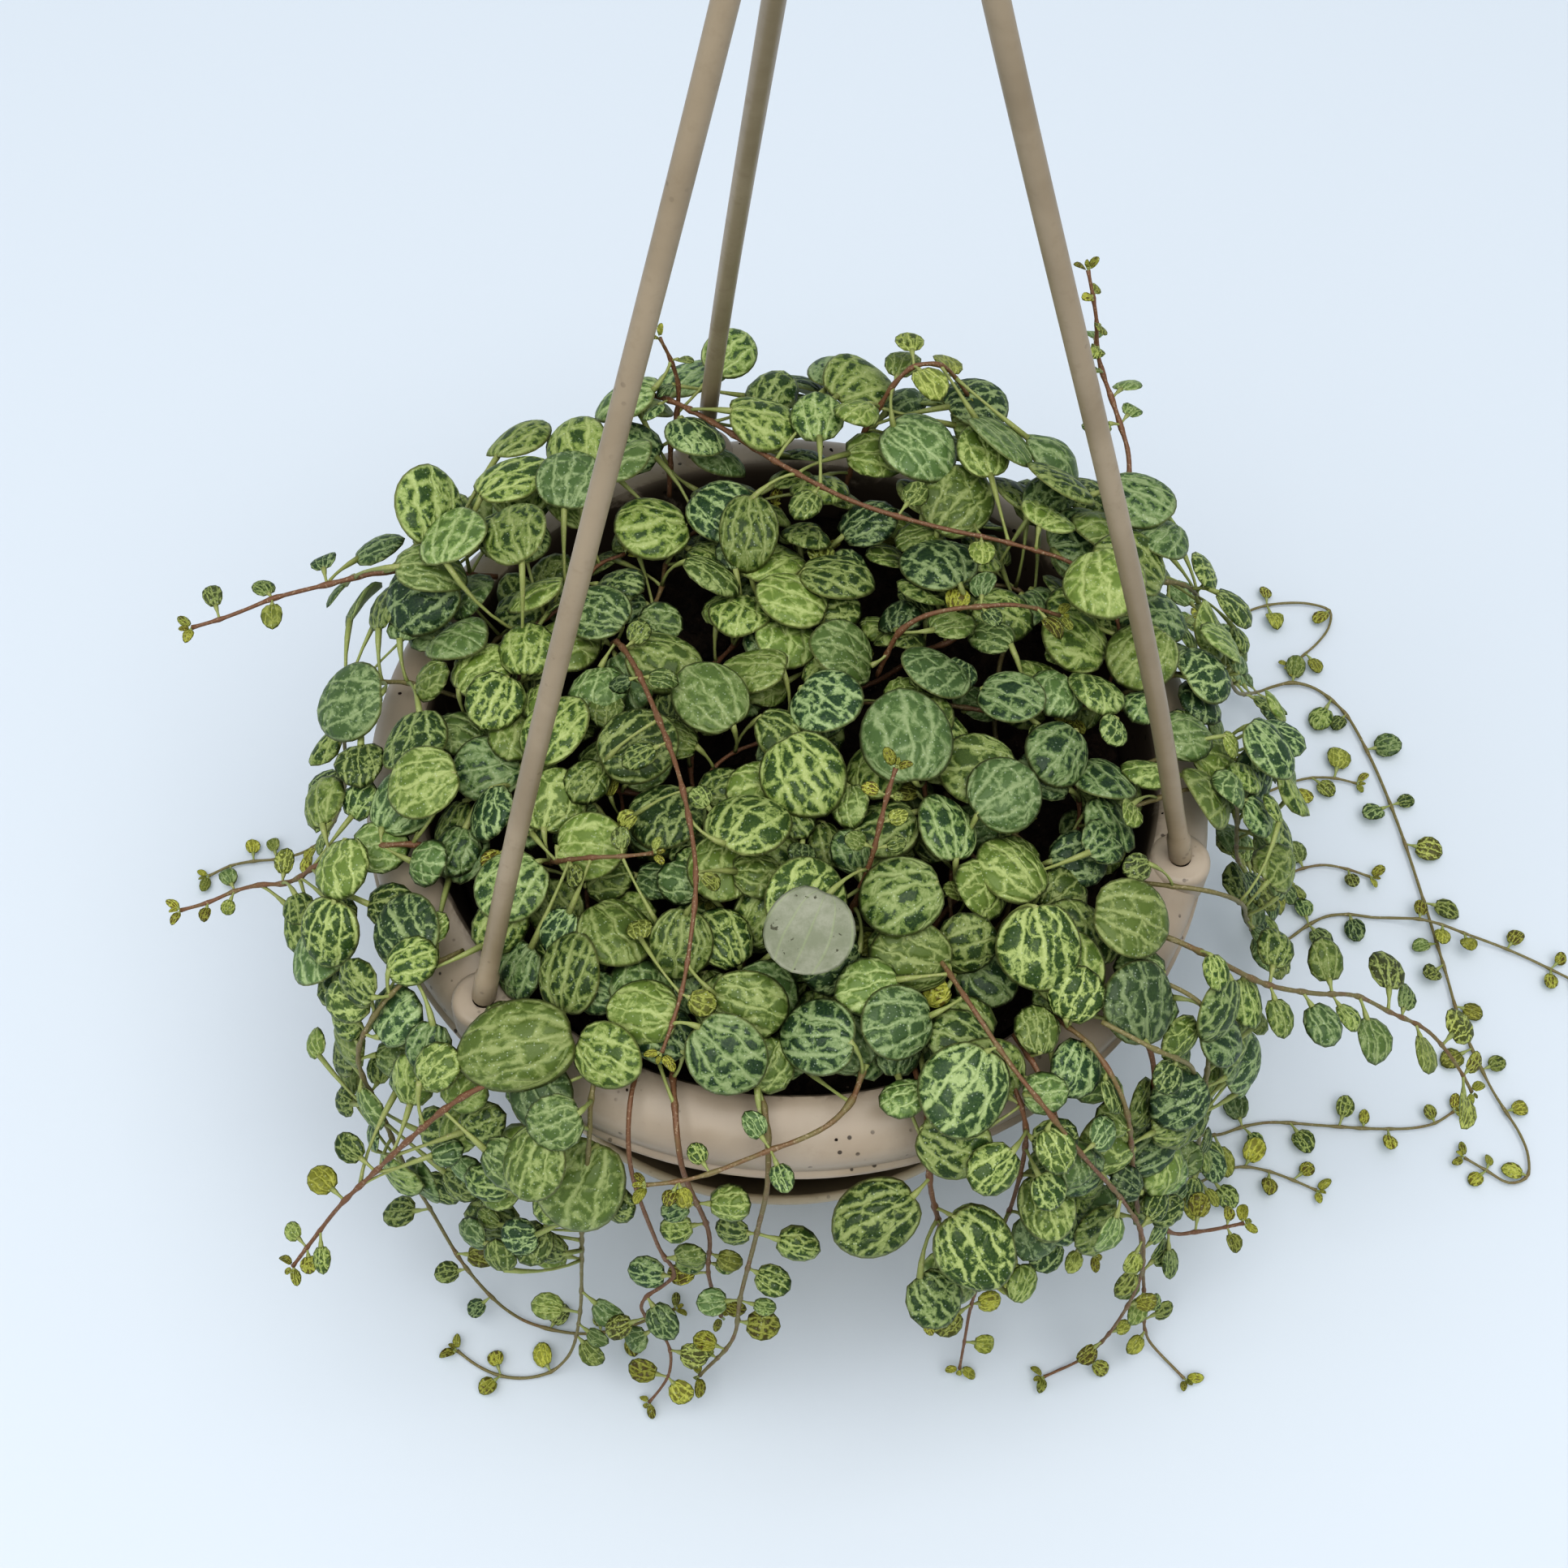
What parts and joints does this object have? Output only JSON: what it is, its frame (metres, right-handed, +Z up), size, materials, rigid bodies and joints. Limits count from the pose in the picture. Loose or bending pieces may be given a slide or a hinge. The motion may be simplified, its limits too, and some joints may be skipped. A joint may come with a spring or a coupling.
{
  "type": "potted hanging plant",
  "caption": "String of turtles plant with round fleshy patterned leaves on thin trailing stems, in a moulded hanging pot with a drip saucer and a hook on slim arms.",
  "frame": {"origin": "centre of the saucer's flat underside, on the surface that the pot stands on", "axes": "+Z up, +Y to the back of the plant (the front looks along +Y), +X to the right as seen from the front"},
  "size_m": [0.2473, 0.1704, 0.2922],
  "materials": {
    "pot_plastic": "smooth cream moulded plastic, soft sheen",
    "saucer_plastic": "thin beige moulded plastic",
    "hanger_plastic": "slim beige-brown moulded plastic",
    "potting_mix": "dark crumbly peat mix",
    "foliage": "fleshy satin leaves, green with pale veins"
  },
  "bodies": {
    "root": {"hanger_arm_back": "hanger_plastic", "hanger_arm_front_left": "hanger_plastic", "hanger_arm_right": "hanger_plastic", "hanger_hook": "hanger_plastic", "pot": "pot_plastic", "saucer": "saucer_plastic", "soil": "potting_mix", "stem_back_arch": "foliage", "stem_back_left_sprig": "foliage", "stem_back_right_sprig": "foliage", "stem_crown_left": "foliage", "stem_crown_middle": "foliage", "stem_crown_right": "foliage", "stem_crown_runner_01": "foliage", "stem_crown_runner_02": "foliage", "stem_crown_runner_03": "foliage", "stem_crown_runner_04": "foliage", "stem_crown_runner_05": "foliage", "stem_crown_runner_06": "foliage", "stem_crown_runner_07": "foliage", "stem_crown_runner_08": "foliage", "stem_crown_runner_09": "foliage", "stem_crown_runner_10": "foliage", "stem_crown_runner_11": "foliage", "stem_crown_runner_12": "foliage", "stem_crown_runner_13": "foliage", "stem_crown_runner_14": "foliage", "stem_crown_runner_15": "foliage", "stem_crown_runner_16": "foliage", "stem_crown_runner_17": "foliage", "stem_crown_runner_18": "foliage", "stem_crown_sprig": "foliage", "stem_crown_top": "foliage", "stem_floor_back": "foliage", "stem_floor_front": "foliage", "stem_floor_front_low": "foliage", "stem_floor_middle": "foliage", "stem_floor_side": "foliage", "stem_front_across": "foliage", "stem_front_fork": "foliage", "stem_front_left_drop": "foliage", "stem_front_left_red": "foliage", "stem_front_mid": "foliage", "stem_front_mid_left": "foliage", "stem_front_right_drop": "foliage", "stem_front_root": "foliage", "stem_left_floor": "foliage", "stem_left_long": "foliage", "stem_left_lower": "foliage", "stem_left_upper": "foliage", "stem_loop_back": "foliage", "stem_loop_far": "foliage", "stem_right_diagonal": "foliage", "stem_right_front_drop": "foliage", "stem_right_front_out": "foliage", "stem_right_front_short": "foliage", "stem_right_reach": "foliage"}
  },
  "joints": []
}
